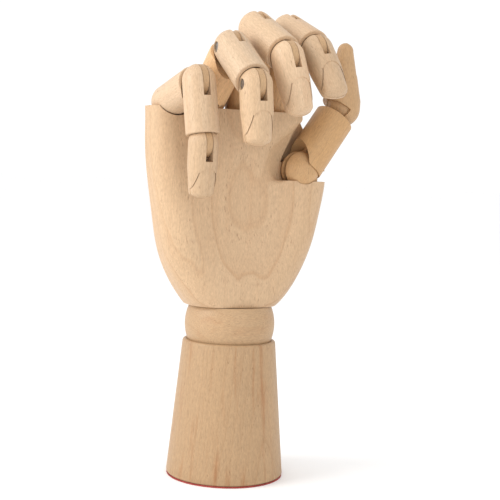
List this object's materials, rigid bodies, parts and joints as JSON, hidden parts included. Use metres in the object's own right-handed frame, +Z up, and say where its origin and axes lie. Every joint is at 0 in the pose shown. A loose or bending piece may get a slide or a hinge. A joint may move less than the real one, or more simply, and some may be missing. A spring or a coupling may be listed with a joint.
{
  "type": "wooden hand mannequin",
  "caption": "Jointed wooden right hand on a tapered forearm stand, with a ball wrist and slotted, pinned knuckles that hold a pose.",
  "frame": {"origin": "centre of the felt's underside, where the stand rests on the table", "axes": "+Z up the forearm's axis, the palm faces -Y, the thumb is on the +X side"},
  "size_m": [0.1205, 0.0987, 0.249],
  "materials": {
    "wood": "pale hardwood, sanded, unvarnished",
    "tongue_wood": "pale hardwood, sawn edges, slightly darker",
    "steel": "plain steel",
    "felt": "dark red felt"
  },
  "bodies": {
    "stand": {"forearm": "wood", "base_felt": "felt", "upper_washer": "steel"},
    "spindle": {"wrist_spindle": "steel", "wrist_spring": "steel", "lower_washer": "steel", "wrist_nut": "steel"},
    "ball": {"wrist_ball": "wood", "wrist_pin": "steel"},
    "hand": {"palm": "wood", "palm_pivot": "steel", "little_root_tongue": "tongue_wood", "ring_root_tongue": "tongue_wood", "middle_root_tongue": "tongue_wood", "index_root_tongue": "tongue_wood"},
    "little_proximal": {"little_proximal": "wood", "little_root_pin": "steel", "little_middle_tongue": "tongue_wood"},
    "little_middle": {"little_middle": "wood", "little_middle_pin": "steel", "little_tip_tongue": "tongue_wood"},
    "little_distal": {"little_distal": "wood", "little_tip_pin": "steel"},
    "ring_proximal": {"ring_proximal": "wood", "ring_root_pin": "steel", "ring_middle_tongue": "tongue_wood"},
    "ring_middle": {"ring_middle": "wood", "ring_middle_pin": "steel", "ring_tip_tongue": "tongue_wood"},
    "ring_distal": {"ring_distal": "wood", "ring_tip_pin": "steel"},
    "middle_proximal": {"middle_proximal": "wood", "middle_root_pin": "steel", "middle_middle_tongue": "tongue_wood"},
    "middle_middle": {"middle_middle": "wood", "middle_middle_pin": "steel", "middle_tip_tongue": "tongue_wood"},
    "middle_distal": {"middle_distal": "wood", "middle_tip_pin": "steel"},
    "index_proximal": {"index_proximal": "wood", "index_root_pin": "steel", "index_middle_tongue": "tongue_wood"},
    "index_middle": {"index_middle": "wood", "index_middle_pin": "steel", "index_tip_tongue": "tongue_wood"},
    "index_distal": {"index_distal": "wood", "index_tip_pin": "steel"},
    "thumb_root": {"thumb_root": "wood", "thumb_root_pin": "steel"},
    "thumb_proximal": {"thumb_proximal": "wood", "thumb_root_tongue": "tongue_wood", "thumb_tip_tongue": "tongue_wood"},
    "thumb_distal": {"thumb_distal": "wood", "thumb_tip_pin": "steel"}
  },
  "joints": [
    {"name": "wrist_swivel", "type": "hinge", "parent": "stand", "child": "spindle", "pos_m": [0, 0, 0.0824], "axis": [0, 0, 1], "continuous": true},
    {"name": "wrist_tilt", "type": "hinge", "parent": "spindle", "child": "ball", "pos_m": [0, 0, 0.0824], "axis": [1, 0, 0], "range_deg": [-24, 24]},
    {"name": "palm_swivel", "type": "hinge", "parent": "ball", "child": "hand", "pos_m": [0, 0, 0.0824], "axis": [0, 0, 1], "continuous": true},
    {"name": "little_root", "type": "hinge", "parent": "hand", "child": "little_proximal", "pos_m": [-0.0395, -0.0016, 0.199], "axis": [-0.994, -0.1045, -0.0332], "range_deg": [-3, 86]},
    {"name": "little_middle", "type": "hinge", "parent": "little_proximal", "child": "little_middle", "pos_m": [-0.03608, -0.037, 0.20786], "axis": [0.9936, 0.1061, 0.0399], "range_deg": [-105, 8]},
    {"name": "little_tip", "type": "hinge", "parent": "little_middle", "child": "little_distal", "pos_m": [-0.03436, -0.04166, 0.1775], "axis": [0.9917, 0.1233, 0.0372], "range_deg": [-24, 36]},
    {"name": "ring_root", "type": "hinge", "parent": "hand", "child": "ring_proximal", "pos_m": [-0.0186, -0.0006, 0.2003], "axis": [-0.9959, -0.0819, -0.0384], "range_deg": [-6, 60]},
    {"name": "ring_middle", "type": "hinge", "parent": "ring_proximal", "child": "ring_middle", "pos_m": [-0.01708, -0.03114, 0.22592], "axis": [0.997, 0.073, 0.0277], "range_deg": [-86, 28]},
    {"name": "ring_tip", "type": "hinge", "parent": "ring_middle", "child": "ring_distal", "pos_m": [-0.01456, -0.05811, 0.20624], "axis": [0.9972, 0.0606, 0.0446], "range_deg": [-60, 22]},
    {"name": "middle_root", "type": "hinge", "parent": "hand", "child": "middle_proximal", "pos_m": [0.0028, -0.0009, 0.2002], "axis": [-0.9931, -0.1009, -0.0593], "range_deg": [-23, 32]},
    {"name": "middle_middle", "type": "hinge", "parent": "middle_proximal", "child": "middle_middle", "pos_m": [0.00211, -0.01649, 0.23836], "axis": [0.9905, 0.1201, 0.0671], "range_deg": [-106.5, 7.5]},
    {"name": "middle_tip", "type": "hinge", "parent": "middle_middle", "child": "middle_distal", "pos_m": [0.00687, -0.04658, 0.22192], "axis": [0.9891, 0.0949, 0.113], "range_deg": [-53, 29]},
    {"name": "index_root", "type": "hinge", "parent": "hand", "child": "index_proximal", "pos_m": [0.0247, -0.0011, 0.2005], "axis": [-0.9962, -0.0837, -0.0244], "range_deg": [-35, 20]},
    {"name": "index_middle", "type": "hinge", "parent": "index_proximal", "child": "index_middle", "pos_m": [0.02432, -0.00812, 0.23997], "axis": [0.9978, 0.0631, 0.0208], "range_deg": [-112, 4]},
    {"name": "index_tip", "type": "hinge", "parent": "index_middle", "child": "index_distal", "pos_m": [0.02655, -0.03924, 0.22735], "axis": [0.9887, 0.0102, 0.1496], "range_deg": [-43, 39]},
    {"name": "thumb_swivel", "type": "hinge", "parent": "hand", "child": "thumb_root", "pos_m": [0.0341, -0.0084, 0.1663], "axis": [0, 0, -1], "range_deg": [0, 50]},
    {"name": "thumb_root", "type": "hinge", "parent": "thumb_root", "child": "thumb_proximal", "pos_m": [0.0341, -0.0084, 0.1663], "axis": [-0.1392, 0.9903, 0], "range_deg": [-14, 6]},
    {"name": "thumb_tip", "type": "hinge", "parent": "thumb_proximal", "child": "thumb_distal", "pos_m": [0.05936, -0.00485, 0.20141], "axis": [0.1392, -0.9903, 0], "range_deg": [-43.5, 26.5]}
  ]
}
